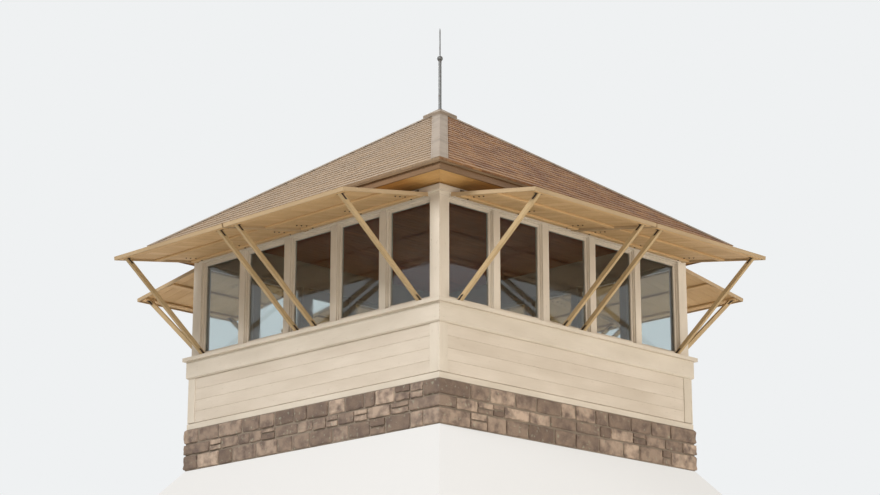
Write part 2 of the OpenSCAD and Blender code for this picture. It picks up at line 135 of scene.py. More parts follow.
bmesh.ops.create_circle(ground_mesh, cap_ends=True, segments=64, radius=studio_reach,
                        matrix=Matrix.Translation((0, 0, floor_z)))
ground = new_piece("studio_floor", ground_mesh, backdrop)

world = bpy.data.worlds.new("studio")
bpy.context.scene.world = world
world.use_nodes = True
tree = world.node_tree
tree.nodes.clear()
fill = add(tree, "ShaderNodeBackground", {"Color": srgb("f4f2ef"), "Strength": 0.4})
shown = add(tree, "ShaderNodeBackground", {"Color": srgb("eff1f2"), "Strength": 1.0})
either = add(tree, "ShaderNodeMixShader", {0: in_view(tree), 1: fill.outputs[0],
                                           2: shown.outputs[0]})
add(tree, "ShaderNodeOutputWorld", {"Surface": either.outputs[0]})
lamp_target = Vector((0, 0, 2))
for name, place, size, power, tint in (("key_lamp", (-16, -3, 12), 7, 2800, "f9fbff"),
                                       ("fill_lamp", (6, -17, 5), 9, 700, "fff8f0"),
                                       ("back_lamp", (10, 12, 12), 8, 2500, "fffaf4"),
                                       ("low_lamp", (-9, -15, -2.4), 5, 750, "fff9f2"),
                                       ("low_right_lamp", (14, -10, -2.4), 5, 700, "fff9f2"),
                                       ("low_back_lamp", (5, 16, -2.4), 5, 700, "fff9f2")):
    lamp_data = bpy.data.lights.new(name, "AREA")
    lamp_data.size = size
    lamp_data.energy = power
    lamp_data.color = srgb(tint)[:3]
    lamp = bpy.data.objects.new(name, lamp_data)
    lamp.location = place
    lamp.rotation_euler = (lamp_target - lamp.location).to_track_quat("-Z", "Y").to_euler()
    lamp.visible_camera = lamp.visible_transmission = False
    lamp.visible_glossy = place[2] > 0
    bpy.context.scene.collection.objects.link(lamp)


# Stone foundation
# Rough field stones laid in lime mortar, in uneven courses with long and short corner stones.
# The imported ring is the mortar; each stone stands a little out of it and is pitched by hand.
def blotches(tree, place, along_mm, across_mm, detail=3.0):
    """A pattern of blotches so many millimetres long, along x, and so many wide."""
    sizes = (1000 / along_mm, 1000 / across_mm, 1000 / across_mm)
    mapping = add(tree, "ShaderNodeMapping", {"Vector": place, "Scale": sizes})
    return add(tree, "ShaderNodeTexNoise", {"Vector": mapping.outputs[0], "Scale": 1.0,
                                            "Detail": detail}).outputs[0]


def stained(tree, colour, pattern, low, high, strength, stain):
    """A colour with a stain laid over it where a pattern rises from low to high."""
    amount = add(tree, "ShaderNodeMapRange", {"Value": pattern, "From Min": low, "From Max": high,
                                              "To Max": strength})
    return add(tree, "ShaderNodeMix", {0: amount.outputs[0], 6: colour, 7: srgb(stain)},
               data_type="RGBA").outputs[2]


def finish(tree, shader, colour, wear, roughness, relief, depth_mm):
    """Gives a shader its colour, a roughness that changes with wear, and relief of that depth."""
    rough = add(tree, "ShaderNodeMapRange", {"Value": wear, "From Min": 0.3, "From Max": 0.7,
                                             "To Min": roughness[0], "To Max": roughness[1]})
    bump = add(tree, "ShaderNodeBump", {"Height": relief, "Distance": depth_mm / 1000})
    tree.links.new(colour, shader.inputs["Base Color"])
    tree.links.new(rough.outputs[0], shader.inputs["Roughness"])
    tree.links.new(bump.outputs[0], shader.inputs["Normal"])


def grain_of_part(tree):
    """Coordinates that join_part kept for each part, x along its grain."""
    return add(tree, "ShaderNodeAttribute", attribute_name="grain").outputs["Vector"]


def grain_along_x(tree):
    """Coordinates of the house, for what runs along x."""
    return add(tree, "ShaderNodeTexCoord").outputs["Object"]


def join_part(whole, part, place, chance, **marks):
    """Adds a part drawn in its own frame, x along its grain, with its own tone, grain and marks."""
    marks["tone"] = chance.uniform(-1, 1)
    grain_spread = 40
    start = Vector([chance.uniform(0, grain_spread) for i in range(3)])
    for name in marks:
        part.verts.layers.float.new(name)
    grain = part.verts.layers.float_vector.new("grain")
    for name, value in marks.items():
        mark = part.verts.layers.float[name]
        for vertex in part.verts:
            vertex[mark] = value
    for vertex in part.verts:
        vertex[grain] = vertex.co + start
    part.transform(place)
    mesh = bpy.data.meshes.new("part")
    part.to_mesh(mesh)
    part.free()
    whole.from_mesh(mesh)
    bpy.data.meshes.remove(mesh)


def finish_nodes(material, *names):
    """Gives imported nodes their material."""
    for name in names:
        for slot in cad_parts[name].material_slots:
            slot.material = material


def wall_turn(number):
    """Turn that carries a piece of the front wall to wall 0 front, 1 right, 2 back or 3 left."""
    return Matrix.Rotation(math.radians(90 * number), 4, "Z")


def block(low, high):
    """A square-edged part between two corners."""
    part = bmesh.new()
    bmesh.ops.create_cube(part, size=1.0, matrix=Matrix.Translation((low + high) / 2)
                          @ Matrix.Diagonal((*(high - low), 1)))
    return part


def stone(low, high, roughness, chance):
    """A rough block between two corners, its arrises worn and its faces uneven."""
    worn_share, long_edge = 0.13, 0.05
    part = block(low, high)
    bmesh.ops.bevel(part, geom=part.edges[:], segments=2, profile=0.5, affect="EDGES",
                    offset=min(high.x - low.x, high.z - low.z) * worn_share, material=-1)
    long_edges = [e for e in part.edges if e.calc_length() > long_edge]
    bmesh.ops.subdivide_edges(part, edges=long_edges, cuts=2, use_grid_fill=True)
    for vertex in part.verts:
        rough = Vector([chance.uniform(-roughness, roughness) for i in range(3)])
        vertex.co = Vector([min(max(vertex.co[i] + rough[i], low[i]), high[i]) for i in range(3)])
    return part


chance = random.Random(7)
ring_half = foundation_high.x
course_heights = (0.185, 0.135, 0.18)
long_end, short_end = 0.46, 0.24
stone_w, least_stone_w = (0.17, 0.44), 0.15
split_under_w, split_chance, split_shares = 0.3, 0.35, (0.42, 0.6)
stone_proud, set_back, stone_depth = 0.024, 0.012, 0.1
stone_joint, stone_roughness = 0.016, 0.005
stones = bmesh.new()
for number in range(4):
    foot = foundation_low.z
    for course, height in enumerate(course_heights):
        end, other_end = long_end, short_end
        if (course + number) % 2:
            end, other_end = short_end, long_end
        place = end - ring_half
        while place < ring_half - end - stone_joint / 2:
            wide = chance.uniform(*stone_w)
            if ring_half - end - place - wide < least_stone_w:
                wide = ring_half - end - place
            levels = [foot, foot + height]
            if wide < split_under_w and chance.random() < split_chance:
                levels.insert(1, foot + height * chance.uniform(*split_shares))
            for lower, upper in zip(levels, levels[1:]):
                face = chance.uniform(0.0, set_back) - ring_half - stone_proud
                part = stone(Vector((place + stone_joint / 2, face, lower + stone_joint / 2)),
                             Vector((place + wide - stone_joint / 2, stone_depth - ring_half,
                                     upper - stone_joint / 2)), stone_roughness, chance)
                join_part(stones, part, wall_turn(number), chance)
            place += wide
        corner = -ring_half - stone_proud
        part = stone(Vector((corner, corner, foot + stone_joint / 2)),
                     Vector((end - ring_half - stone_joint / 2,
                             other_end - ring_half - stone_joint / 2,
                             foot + height - stone_joint / 2)), stone_roughness, chance)
        join_part(stones, part, wall_turn(number), chance)
        foot += height

# Split field stone: matt and gritty, each stone of its own brown, with a little pale lichen.
field_stone, tree, shader = new_material("split_field_stone")
place = grain_of_part(tree)
tone = add(tree, "ShaderNodeAttribute", attribute_name="tone").outputs["Fac"]
grit = blotches(tree, place, 7, 7, 4.0)
colour = stained(tree, srgb("6b594b"), tone, -1.0, 1.0, 1.0, "bfa893")
colour = stained(tree, colour, blotches(tree, place, 110, 110, 6.0), 0.4, 0.68, 0.9, "605047")
colour = stained(tree, colour, grit, 0.55, 0.75, 0.35, "a89a88")
colour = stained(tree, colour, blotches(tree, place, 45, 45), 0.62, 0.7, 0.6, "9b9a86")
finish(tree, shader, colour, grit, (0.82, 0.94), grit, 4)
stone_work = new_piece("field_stones", stones, field_stone)
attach(stone_work, "root")

# Lime mortar: chalky and sandy, darker where damp gets into it.
mortar, tree, shader = new_material("lime_mortar")
place = grain_along_x(tree)
sand = blotches(tree, place, 4, 4, 5.0)
colour = stained(tree, srgb("7d6f60"), sand, 0.0, 1.0, 1.0, "9a8d7c")
colour = stained(tree, colour, blotches(tree, place, 330, 330), 0.4, 0.7, 0.5, "5f5348")
finish(tree, shader, colour, sand, (0.9, 0.98), sand, 3)
finish_nodes(mortar, "stone_foundation")


# Floor
# Sawn joists carry tongued softwood boards, 106 mm wide, that were oiled once and have gone grey
# where the feet go. The boards are nailed across the joists and notched round the corner posts.
def changed_over(tree, order):
    """Coordinates of the house with its axes in another order."""
    apart = add(tree, "ShaderNodeSeparateXYZ", {0: grain_along_x(tree)})
    return add(tree, "ShaderNodeCombineXYZ",
               {i: apart.outputs[axis] for i, axis in enumerate(order)}).outputs[0]


def grain_along_y(tree):
    """Coordinates for timber that runs along y."""
    return changed_over(tree, (1, 0, 2))


def bare_wood(name, light, dark, grain, roughness):
    """Unpainted softwood: drawn out growth lines, darker blotches, and a tone for each board."""
    material, tree, shader = new_material(name)
    place = grain(tree)
    tone = add(tree, "ShaderNodeAttribute", attribute_name="tone").outputs["Fac"]
    # Real growth lines lie 1 to 3 mm apart; 5 mm is the finest that shows from the camera.
    lines = blotches(tree, place, 260, 5, 4.0)
    colour = stained(tree, srgb(dark), lines, 0.35, 0.65, 1.0, light)
    colour = stained(tree, colour, blotches(tree, place, 700, 90), 0.45, 0.75, 0.5, dark)
    colour = stained(tree, colour, tone, -1.0, 1.0, 0.4, dark)
    finish(tree, shader, colour, lines, (roughness + 0.08, roughness - 0.08), lines, 0.6)
    return material


def prism(outline, foot, top):
    """A part with the given outline in plan between two heights."""
    part = bmesh.new()
    face = part.faces.new([part.verts.new((x, y, foot)) for x, y in outline])
    raised = bmesh.ops.extrude_face_region(part, geom=[face])["geom"]
    bmesh.ops.translate(part, verts=[v for v in raised if isinstance(v, bmesh.types.BMVert)],
                        vec=(0, 0, top - foot))
    bmesh.ops.recalc_face_normals(part, faces=part.faces)
    return part


def ease(part, offset):
    """Bevels every edge of a part."""
    bmesh.ops.bevel(part, geom=part.edges[:], offset=offset, segments=1, profile=0.5,
                    affect="EDGES", material=-1)
    return part


floor_low, floor_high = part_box("floor_deck")
room_half = floor_high.x
notch = 0.031
floor_count, floor_joint, floor_arris = 38, 0.001, 0.001
floor_pitch = 2 * room_half / floor_count
chance = random.Random(11)
floor_mesh = bmesh.new()
for i in range(floor_count):
    near = i * floor_pitch + floor_joint / 2 - room_half
    far = near + floor_pitch - floor_joint
    outline = [(-room_half, near), (room_half, near), (room_half, far), (-room_half, far)]
    if i == 0:
        shelf = notch - room_half
        outline = [(shelf, near), (-shelf, near), (-shelf, shelf), (room_half, shelf),
                   (room_half, far), (-room_half, far), (-room_half, shelf), (shelf, shelf)]
    if i == floor_count - 1:
        shelf = room_half - notch
        outline = [(-room_half, near), (room_half, near), (room_half, shelf), (shelf, shelf),
                   (shelf, far), (-shelf, far), (-shelf, shelf), (-room_half, shelf)]
    part = ease(prism(outline, floor_low.z, floor_high.z), floor_arris)
    join_part(floor_mesh, part, Matrix(), chance)
# Oiled pine: a low sheen, yellow brown between darker growth lines.
floor_finish = bare_wood("oiled_pine_floor", "9b7a52", "5f452c", grain_of_part, 0.5)
floor_boards = new_piece("floor_boards", floor_mesh, floor_finish)
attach(floor_boards, "root")
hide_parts("floor_deck")
# Sawn pine: dry and matt, the saw marks closed by dust.
finish_nodes(bare_wood("sawn_pine_joists", "a98a60", "765736", grain_along_y, 0.75),
             "floor_joists")


# Lower walls
# Level pine boards laid edge to edge, their arrises eased to a fine V, under old cream paint.
# They run between corner boards, lapped at each corner, and are nailed to studs 610 mm apart.
def arris(tree, radius_mm):
    """1 along the arrises and 0 on the flats."""
    eased = add(tree, "ShaderNodeBevel", {"Radius": radius_mm / 1000}, samples=4)
    flat = add(tree, "ShaderNodeNewGeometry")
    bend = add(tree, "ShaderNodeVectorMath", {0: eased.outputs[0], 1: flat.outputs["Normal"]},
               operation="DOT_PRODUCT")
    return add(tree, "ShaderNodeMapRange", {"Value": bend.outputs["Value"], "From Min": 0.99,
                                            "From Max": 0.8}).outputs[0]


def painted_wood(name, paint, soiled, bare, grain, wear=0.5):
    """Old chalky oil paint on softwood, soiled in blotches and worn to bare wood on the arrises."""
    material, tree, shader = new_material(name)
    place = grain(tree)
    tone = add(tree, "ShaderNodeAttribute", attribute_name="tone").outputs["Fac"]
    # Brush marks are 1 to 2 mm wide; 5 mm is the finest that shows from the camera.
    lines = blotches(tree, place, 240, 5, 4.0)
    soil = blotches(tree, place, 900, 260, 4.0)
    flakes = blotches(tree, place, 60, 14, 5.0)
    on_edges = add(tree, "ShaderNodeMapRange", {"Value": flakes, "From Min": 0.42,
                                                "From Max": 0.6, "To Max": arris(tree, 4)})
    on_flats = add(tree, "ShaderNodeMapRange", {"Value": flakes, "From Min": 0.68,
                                                "From Max": 0.74, "To Max": wear})
    chipped = add(tree, "ShaderNodeMath", {0: on_edges.outputs[0], 1: on_flats.outputs[0]},
                  operation="MAXIMUM").outputs[0]
    colour = stained(tree, srgb(paint), soil, 0.35, 0.75, 0.6, soiled)
    colour = stained(tree, colour, lines, 0.5, 0.75, 0.3, soiled)
    colour = stained(tree, colour, tone, -1.0, 1.0, 0.25, soiled)
    colour = stained(tree, colour, chipped, 0.0, 1.0, 1.0, bare)
    relief = add(tree, "ShaderNodeMath", {0: lines, 1: chipped}, operation="SUBTRACT").outputs[0]
    finish(tree, shader, colour, soil, (0.52, 0.72), relief, 0.5)
    return material


def board(length, width, thickness, eased):
    """A board in its own frame: x along it, its face at z = 0 and its back below."""
    return ease(block(Vector((-length / 2, -width / 2, -thickness)),
                      Vector((length / 2, width / 2, 0.0))), eased)


def turned(profile, segments):
    """A turned part: the profile of radii and heights spun round z."""
    part = bmesh.new()
    points = [part.verts.new((radius, 0, height)) for radius, height in profile]
    edges = [part.edges.new(pair) for pair in zip(points, points[1:])]
    bmesh.ops.spin(part, geom=points + edges, cent=(0, 0, 0), axis=(0, 0, 1), angle=math.tau,
                   steps=segments, use_merge=True)
    bmesh.ops.remove_doubles(part, verts=part.verts, dist=1e-5)
    bmesh.ops.recalc_face_normals(part, faces=part.faces)
    return part


def level_on_wall(x, out, z):
    """Place of a part laid level on the front wall, its face so far out from the middle."""
    return Matrix.Translation((x, -out, z)) @ Matrix.Rotation(math.radians(90), 4, "X")


def upright_on_wall(x, out, z):
    """Place of a part stood upright on the front wall."""
    return level_on_wall(x, out, z) @ Matrix.Rotation(math.radians(90), 4, "Z")


nail_head = turned([(0.0, 0.0), (0.0045, 0.0), (0.003, 0.0012), (0.0, 0.0016)], 6)
half_w = -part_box("front_lower_wall")[0].y
table_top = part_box("water_table")[1].z
apron_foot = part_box("front_sill")[0].z
post_w = 0.1
door_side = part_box("door_threshold")[1].x + post_w
siding_t, siding_let_in, siding_joint, siding_arris = 0.012, 0.004, 0.0006, 0.0022
corner_board_t, corner_board_w, corner_board_arris = 0.02, 0.13, 0.0025
siding_rows = 4
stud_pitch = 0.61
nail_from_end, nail_share = 0.025, 0.3
board_h = (apron_foot - table_top) / siding_rows
chance = random.Random(3)
siding_mesh = bmesh.new()
corner_mesh = bmesh.new()
nail_mesh = bmesh.new()
for number in range(4):
    left_end = corner_board_w - half_w - corner_board_t
    right_end = half_w - corner_board_w
    spans = [(left_end, right_end)]
    if number == 2:
        spans = [(left_end, -door_side), (door_side, right_end)]
    for left, right in spans:
        studs = [x * stud_pitch for x in range(-3, 4) if left < x * stud_pitch < right]
        for row in range(siding_rows):
            middle = table_top + (row + 0.5) * board_h
            place = level_on_wall((left + right) / 2, half_w + siding_t, middle)
            part = board(right - left, board_h - siding_joint, siding_t + siding_let_in,
                         siding_arris)
            join_part(siding_mesh, part, wall_turn(number) @ place, chance)
            for x in [left + nail_from_end] + studs + [right - nail_from_end]:
                for side in (-1, 1):
                    place = level_on_wall(x, half_w + siding_t,
                                          middle + side * board_h * nail_share)
                    join_part(nail_mesh, nail_head.copy(), wall_turn(number) @ place, chance)
    for x in (corner_board_w / 2 - half_w - corner_board_t, half_w - corner_board_w / 2):
        place = upright_on_wall(x, half_w + corner_board_t, (table_top + apron_foot) / 2)
        part = board(apron_foot - table_top, corner_board_w, corner_board_t, corner_board_arris)
        join_part(corner_mesh, part, wall_turn(number) @ place, chance)
# Chalky cream oil paint: matt and warm, rubbed through to brown wood on the arrises.
siding_paint = painted_wood("cream_paint_on_siding", "d2c6b5", "b6a895", "8f7a5f",
                            grain_of_part, 0.45)
siding = new_piece("siding_boards", siding_mesh, siding_paint)
nails = new_piece("siding_nails", nail_mesh, siding_paint)
# The same cream paint on planed trim, a shade cleaner than on the siding.
trim_paint = painted_wood("cream_paint_on_trim", "d5cab9", "b7ab98", "8f7a5f", grain_of_part)
corner_boards = new_piece("corner_boards", corner_mesh, trim_paint)
for piece in (siding, nails, corner_boards):
    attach(piece, "root")


def grain_round_walls(tree):
    """Coordinates with x along each wall, changed over on the diagonals of the plan."""
    apart = add(tree, "ShaderNodeSeparateXYZ", {0: grain_along_x(tree)})
    x, y = [add(tree, "ShaderNodeMath", {0: apart.outputs[i]}, operation="ABSOLUTE").outputs[0]
            for i in (0, 1)]
    on_side = add(tree, "ShaderNodeMath", {0: x, 1: y}, operation="GREATER_THAN").outputs[0]
    return add(tree, "ShaderNodeMix", {0: on_side, 4: grain_along_x(tree), 5: grain_along_y(tree)},
               data_type="VECTOR").outputs[1]


# Cream paint with its brush and grain lines drawn out along each wall.
ring_paint = painted_wood("cream_paint_round_walls", "d5cab9", "b7ab98", "8f7a5f",
                          grain_round_walls)
finish_nodes(ring_paint, "water_table", "front_lower_wall", "right_lower_wall", "left_lower_wall",
             "back_lower_wall_beside_hinges", "back_lower_wall_beside_latch")


# Posts, sills and wall plates
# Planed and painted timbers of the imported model: square posts at the corners, slimmer posts
# between the windows, the weathered sill over its apron, and the beams over the windows.
def grain_upright(tree):
    """Coordinates for upright timber."""
    return changed_over(tree, (2, 1, 0))


walls = ("front", "right", "back", "left")
# Cream paint with its brush and grain lines upright.
post_paint = painted_wood("cream_paint_on_posts", "d5cab9", "b7ab98", "8f7a5f", grain_upright)
finish_nodes(post_paint, "corner_posts", *[wall + "_window_posts" for wall in walls])
finish_nodes(ring_paint, "wall_plates", "shutter_rail", *[wall + "_sill" for wall in walls])


# Windows
# Five painted sashes to a wall, each with one pane of thin glass, held by stop beads nailed to
# the posts and the plate.
finish_nodes(post_paint, *[wall + "_sashes" for wall in walls])
# Drawn sheet glass: clear and faintly green, with a film of dust that blurs it in patches.
glass, tree, shader = new_material("drawn_sheet_glass")
shader.inputs["Base Color"].default_value = srgb("dfe7e8")
shader.inputs["IOR"].default_value = 1.5
shader.inputs["Transmission Weight"].default_value = 1.0
dust = add(tree, "ShaderNodeMapRange", {"Value": blotches(tree, grain_along_x(tree), 180, 180, 6.0),
                                        "From Min": 0.4, "From Max": 0.75, "To Min": 0.01,
                                        "To Max": 0.09})
tree.links.new(dust.outputs[0], shader.inputs["Roughness"])
finish_nodes(glass, *[wall + "_window_glass" for wall in walls])

sill_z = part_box("front_sashes")[0].z
head_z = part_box("wall_plates")[0].z
inner_bays = 3
bay_pitch = (2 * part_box("front_window_posts")[1].x - post_w) / inner_bays
bay_w = bay_pitch - post_w
sash_face = -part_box("front_sashes")[0].y
bead_w, bead_t, bead_arris = 0.014, 0.018, 0.003
chance = random.Random(5)
bead_mesh = bmesh.new()
for number in range(4):
    for bay in range(-2, 3):
        if number == 2 and bay == 0:
            continue
        middle = bay * bay_pitch
        for side in (-1, 1):
            part = board(head_z - sill_z, bead_w, bead_t, bead_arris)
            place = upright_on_wall(middle + side * (bay_w - bead_w) / 2, sash_face + bead_t,
                                    (head_z + sill_z) / 2)
            join_part(bead_mesh, part, wall_turn(number) @ place, chance)
        part = board(bay_w - 2 * bead_w, bead_w, bead_t, bead_arris)
        place = level_on_wall(middle, sash_face + bead_t, head_z - bead_w / 2)
        join_part(bead_mesh, part, wall_turn(number) @ place, chance)
beads = new_piece("window_stop_beads", bead_mesh, trim_paint)
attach(beads, "root")


# Door
# A half glazed leaf in the middle of the back wall, painted with the house, on three butt hinges.
# It has planted mouldings, a drip board at its foot, and a brass knob over a keyhole on each face.
# Cream paint again, darker and more worn, since hands and rain reach the door.
finish_nodes(painted_wood("cream_paint_on_door", "cdc1ae", "a89a85", "7d6a50", grain_upright, 0.6),
             "door_leaf")
# Worn softwood: grey, open grained and dry.
finish_nodes(bare_wood("worn_grey_threshold", "8d8275", "5e544a", grain_along_x, 0.8),
             "door_threshold")
door_low, door_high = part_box("door_leaf")
stile_w, sash_w = 0.095, 0.042
kick_rail_h, lock_rail_h = 0.2, 0.15
moulding_arris = 0.004
opening_half = (door_high.x - door_low.x) / 2 - stile_w
panel_foot, light_foot = door_low.z + kick_rail_h, sill_z + sash_w
chance = random.Random(19)
door_trim_mesh = bmesh.new()
for low, high, width, depth, back in (
        (panel_foot, light_foot - lock_rail_h, 0.018, 0.012, 0.001),
        (light_foot, door_high.z - stile_w, 0.012, 0.016, 0.003)):
    middle = (low + high) / 2
    for side in (-1, 1):
        part = board(high - low, width, depth, moulding_arris)
        place = upright_on_wall(side * (opening_half - width / 2), door_high.y - back, middle)
        join_part(door_trim_mesh, part, wall_turn(2) @ place, chance)
        part = board(2 * (opening_half - width), width, depth, moulding_arris)
        place = level_on_wall(0, door_high.y - back, middle + side * (high - low - width) / 2)
        join_part(door_trim_mesh, part, wall_turn(2) @ place, chance)
# Seen along the wall: the part's outline lies across the wall and it is drawn out along x.
along_wall = Matrix(((0, 0, 1, 0), (1, 0, 0, 0), (0, 1, 0, 0), (0, 0, 0, 1)))
drip_foot, drip_out, drip_edge, drip_h, drip_in = door_low.z + 0.006, 0.03, 0.01, 0.055, 0.01
outline = [(-door_high.y, drip_foot), (-door_high.y - drip_out, drip_foot),
           (-door_high.y - drip_out, drip_foot + drip_edge), (-door_high.y, drip_foot + drip_h)]
part = ease(prism(outline, door_low.x + drip_in, door_high.x - drip_in), 0.001)
part.transform(along_wall)
join_part(door_trim_mesh, part, wall_turn(2), chance)
door_trim = new_piece("door_mouldings", door_trim_mesh, trim_paint)
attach(door_trim, "root")

knob_z, knob_x = door_low.z + 0.93, door_low.x + 0.05
keyhole_drop = 0.075
hinge_from_end = 0.2
pin_beside, pin_proud = 0.0015, 0.006
chance = random.Random(17)
hardware_mesh = bmesh.new()
knob = turned([(0.0, 0.0), (0.026, 0.0), (0.026, 0.003), (0.011, 0.005), (0.009, 0.03),
               (0.022, 0.038), (0.027, 0.048), (0.022, 0.058), (0.0, 0.062)], 24)
keyhole = turned([(0.004, 0.0), (0.012, 0.0), (0.012, 0.002), (0.008, 0.003), (0.004, 0.001),
                  (0.004, 0.0)], 16)
for face_y, turn in ((door_high.y, -90), (door_low.y, 90)):
    facing = Matrix.Rotation(math.radians(turn), 4, "X")
    join_part(hardware_mesh, knob.copy(), Matrix.Translation((knob_x, face_y, knob_z)) @ facing,
              chance)
    join_part(hardware_mesh, keyhole.copy(),
              Matrix.Translation((knob_x, face_y, knob_z - keyhole_drop)) @ facing, chance)
hinge_pin = turned([(0.0, -0.045), (0.004, -0.045), (0.006, -0.042), (0.006, 0.042),
                    (0.004, 0.045), (0.0, 0.045)], 12)
for z in (door_low.z + hinge_from_end, (door_low.z + door_high.z) / 2,
          door_high.z - hinge_from_end):
    place = Matrix.Translation((door_high.x + pin_beside, door_high.y + pin_proud, z))
    join_part(hardware_mesh, hinge_pin.copy(), place, chance)
# Cast brass: dull yellow, browner where hands and rain have left it.
brass, tree, shader = new_material("dull_brass")
tarnish = blotches(tree, grain_along_x(tree), 12, 12, 4.0)
colour = stained(tree, srgb("a98545"), tarnish, 0.3, 0.7, 1.0, "6d5630")
finish(tree, shader, colour, tarnish, (0.28, 0.5), tarnish, 0.1)
shader.inputs["Metallic"].default_value = 1.0
hardware = new_piece("door_hardware", hardware_mesh, brass)
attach(hardware, "root")


# Ceiling and roof frame
# Boards with eased edges nailed under the ceiling joists, and the sawn rafters of the roof, all
# of them bare softwood.
ceiling_low, ceiling_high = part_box("ceiling")
ceiling_count, ceiling_arris = 44, 0.0025
ceiling_pitch = 2 * room_half / ceiling_count
chance = random.Random(23)
ceiling_mesh = bmesh.new()
for i in range(ceiling_count):
    part = board(2 * room_half, ceiling_pitch, ceiling_high.z - ceiling_low.z, ceiling_arris)
    place = Matrix.Translation((0, (i + 0.5) * ceiling_pitch - room_half, ceiling_high.z))
    join_part(ceiling_mesh, part, place, chance)
# Oiled fir: red brown, painted lighter and redder than the wood as painted warm light inside the
# room, with a low sheen that shows from below through the windows.
ceiling_wood_and_painted_light = bare_wood("oiled_fir_ceiling_with_painted_light", "cf5f1f", "843713", grain_of_part, 0.55)
ceiling_boards = new_piece("ceiling_boards", ceiling_mesh, ceiling_wood_and_painted_light)
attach(ceiling_boards, "root")
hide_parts("ceiling")
# Sawn pine: dry, matt and pale, where only the dark of the roof space is behind it.
finish_nodes(bare_wood("sawn_pine_rafters", "a98a60", "765736", grain_round_walls, 0.75),
             "hip_rafters", "common_and_jack_rafters")
finish_nodes(bare_wood("sawn_pine_ceiling_joists", "a98a60", "765736", grain_along_x, 0.75),
             "ceiling_joists")


# Soffit and fascia
# Three painted boards under each eave, mitred at the corners, behind a darker fascia board.
# Both are nailed to the rafters' ends.
soffit_low, soffit_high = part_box("soffit")
soffit_rows, soffit_joint, soffit_arris = 3, 0.0012, 0.0018
soffit_row_w = (soffit_high.x - half_w) / soffit_rows
chance = random.Random(29)
soffit_mesh = bmesh.new()
for number in range(4):
    for row in range(soffit_rows):
        near = half_w + row * soffit_row_w + soffit_joint / 2
        far = near + soffit_row_w - soffit_joint
        part = prism([(-far, -far), (far, -far), (near, -near), (-near, -near)],
                     soffit_low.z, soffit_high.z)
        join_part(soffit_mesh, ease(part, soffit_arris), wall_turn(number), chance)
# Oil paint, orange brown: partly its own tan and partly painted warm light bounced up from below;
# less chalky, since no rain reaches it.
soffit_paint_and_painted_bounce = painted_wood("soffit_paint_with_painted_warm_bounce", "c89c5e", "a27a47", "7d6240",
                            grain_of_part, 0.4)
soffit_boards = new_piece("soffit_boards", soffit_mesh, soffit_paint_and_painted_bounce)
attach(soffit_boards, "root")
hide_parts("soffit")
# Brown oil paint, chalky and worn: it reads as a dark line under the shingles' butts.
finish_nodes(painted_wood("brown_paint_on_fascia", "7d5e3e", "644b32", "8f7a5f",
                          grain_round_walls, 0.7), "fascia")


# Roof slopes
# Sawn wood shingles on close boards: 22 courses, each showing 140 mm, with staggered joints and
# three thicknesses everywhere. Painted sunlight makes the left slope the palest and greyest and
# leaves the front slope the darkest, as painted shade.
slope_low, slope_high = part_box("front_roof_slope")
eave_half = -slope_low.y
peak_z = slope_high.z
roof_rise = 1.75
pitch_angle = math.atan2(roof_rise, eave_half)
slope_l = eave_half / math.cos(pitch_angle)
cover_t = 0.046
deck_panel_t = 0.017
courses = 22
exposure = slope_l / courses
butt_t, head_t = 0.0092, 0.002
shingle_l, starter_l = 0.4, 0.28
shingle_w, shingle_gap, first_over = (0.085, 0.2), 0.004, 0.1
butt_slip, butt_skew, settling = 0.006, 0.0015, 0.001
# Share of painted sunlight on each slope (front, right, back, left): paler and greyer the higher it
# is.
painted_sun_by_slope = (0.0, 0.3, 0.7, 1.0)


def on_slope(number):
    """Place of what is drawn on a slope: x up the slope from the eave, y along it, z out of it."""
    at_eave = Matrix.Translation((0, -eave_half, peak_z - roof_rise))
    return (wall_turn(number) @ at_eave @ Matrix.Rotation(pitch_angle, 4, "X")
            @ Matrix.Rotation(math.radians(90), 4, "Z"))


def cut_at_hips(part, number):
    """Cuts off what lies over the two hips of a slope, and closes the cuts."""
    for side in (-1, 1):
        away = wall_turn(number) @ Vector((side, 1, 0))
        cut = bmesh.ops.bisect_plane(part, geom=part.verts[:] + part.edges[:] + part.faces[:],
                                     plane_co=(0, 0, 0), plane_no=away, clear_outer=True)
        edges = [item for item in cut["geom_cut"] if isinstance(item, bmesh.types.BMEdge)]
        if edges:
            bmesh.ops.holes_fill(part, edges=edges, sides=0)


def shingle(left, right, butt, skew, top, thick, length):
    """A tapered shingle: thick at its butt, and thin under the courses that lie on its head."""
    part = block(Vector((butt, left, 0.0)), Vector((butt + length, right, 1.0)))
    for vertex in part.verts:
        upper, at_head = vertex.co.z > 0.5, vertex.co.x > butt + length / 2
        vertex.co.x = vertex.co.x + math.copysign(skew, vertex.co.y - (left + right) / 2)
        vertex.co.x = max(vertex.co.x, 0.0)
        vertex.co.z = top
        if at_head:
            vertex.co.z -= length * butt_t / exposure
        if not upper:
            vertex.co.z -= head_t if at_head else thick
    return part


